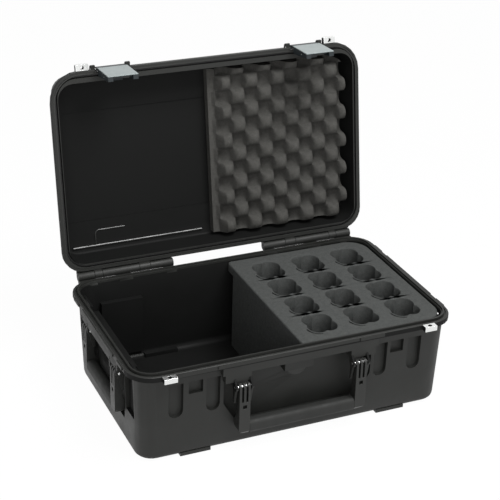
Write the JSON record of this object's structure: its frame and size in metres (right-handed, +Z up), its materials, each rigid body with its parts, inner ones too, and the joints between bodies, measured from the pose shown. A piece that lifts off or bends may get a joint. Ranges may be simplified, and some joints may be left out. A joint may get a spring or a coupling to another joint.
{
  "type": "microphone case",
  "caption": "Hard moulded case with a hinged lid, draw latches, fold-down handles, a foam block with microphone sockets and egg-crate lid foam.",
  "frame": {"origin": "on the floor under the middle of the open case's overall box", "axes": "+X along the case to its right side, +Y from the latches to the hinges, +Z up"},
  "size_m": [0.5628, 0.4608, 0.5206],
  "materials": {
    "case_polymer": "fine moulded texture",
    "grip_rubber": "matt over-moulded grip",
    "latch_polymer": "smooth satin",
    "plate_grey": "satin grey face plate",
    "plate_steel": "bright stainless",
    "pin_black": "blackened steel rod",
    "foam_charcoal": "open-cell foam",
    "seal_rubber": "matt seal"
  },
  "bodies": {
    "base": {"base_shell": "case_polymer", "base_padlock_plate_left": "plate_steel", "base_padlock_plate_right": "plate_steel", "hinge_pin_left": "pin_black", "hinge_pin_right": "pin_black", "valve_body": "case_polymer", "valve_cap": "case_polymer", "mic_foam_floor": "foam_charcoal", "mic_foam_left": "foam_charcoal", "mic_foam_middle": "foam_charcoal", "mic_foam_right": "foam_charcoal", "front_handle_pin_a": "plate_steel", "front_handle_pin_b": "plate_steel", "left_handle_pin_a": "plate_steel", "left_handle_pin_b": "plate_steel", "right_handle_pin_a": "plate_steel", "right_handle_pin_b": "plate_steel"},
    "lid": {"lid_shell": "case_polymer", "lid_gasket": "seal_rubber", "lid_padlock_plate_left": "plate_steel", "lid_padlock_plate_right": "plate_steel", "latch_pin_left": "plate_steel", "latch_pin_right": "plate_steel", "lid_crate_foam": "foam_charcoal"},
    "latch_left": {"latch_body_left": "latch_polymer", "latch_plate_left": "plate_grey", "trigger_pin_left": "plate_steel"},
    "latch_right": {"latch_body_right": "latch_polymer", "latch_plate_right": "plate_grey", "trigger_pin_right": "plate_steel"},
    "trigger_left": {"latch_trigger_left": "latch_polymer"},
    "trigger_right": {"latch_trigger_right": "latch_polymer"},
    "front_handle": {"front_handle_frame": "case_polymer", "front_handle_grip": "grip_rubber"},
    "left_handle": {"left_handle_frame": "case_polymer", "left_handle_grip": "grip_rubber"},
    "right_handle": {"right_handle_frame": "case_polymer", "right_handle_grip": "grip_rubber"}
  },
  "joints": [
    {"name": "lid_hinge", "type": "hinge", "parent": "base", "child": "lid", "pos_m": [0, 0.12944, 0.1645], "axis": [-1, 0, 0], "range_deg": [-98.7, 0]},
    {"name": "latch_pivot_left", "type": "hinge", "parent": "lid", "child": "latch_left", "pos_m": [-0.1745, 0.18305, 0.50956], "axis": [-1, 0, 0], "range_deg": [0, 100]},
    {"name": "latch_pivot_right", "type": "hinge", "parent": "lid", "child": "latch_right", "pos_m": [0.1745, 0.18305, 0.50956], "axis": [-1, 0, 0], "range_deg": [0, 100]},
    {"name": "trigger_pivot_left", "type": "hinge", "parent": "latch_left", "child": "trigger_left", "pos_m": [-0.1745, 0.13767, 0.51044], "axis": [1, 0, 0], "range_deg": [0, 18], "stiffness_Nm_per_rad": 0.05, "springref_deg": -17.19},
    {"name": "trigger_pivot_right", "type": "hinge", "parent": "latch_right", "child": "trigger_right", "pos_m": [0.1745, 0.13767, 0.51044], "axis": [1, 0, 0], "range_deg": [0, 18], "stiffness_Nm_per_rad": 0.05, "springref_deg": -17.19},
    {"name": "front_handle_pivot", "type": "hinge", "parent": "base", "child": "front_handle", "pos_m": [0, -0.22236, 0.1175], "axis": [-1, 0, 0], "range_deg": [0, 95]},
    {"name": "left_handle_pivot", "type": "hinge", "parent": "base", "child": "left_handle", "pos_m": [-0.273, -0.04936, 0.1283], "axis": [0, 1, 0], "range_deg": [0, 95]},
    {"name": "right_handle_pivot", "type": "hinge", "parent": "base", "child": "right_handle", "pos_m": [0.273, -0.04936, 0.1283], "axis": [0, -1, 0], "range_deg": [0, 95]}
  ]
}
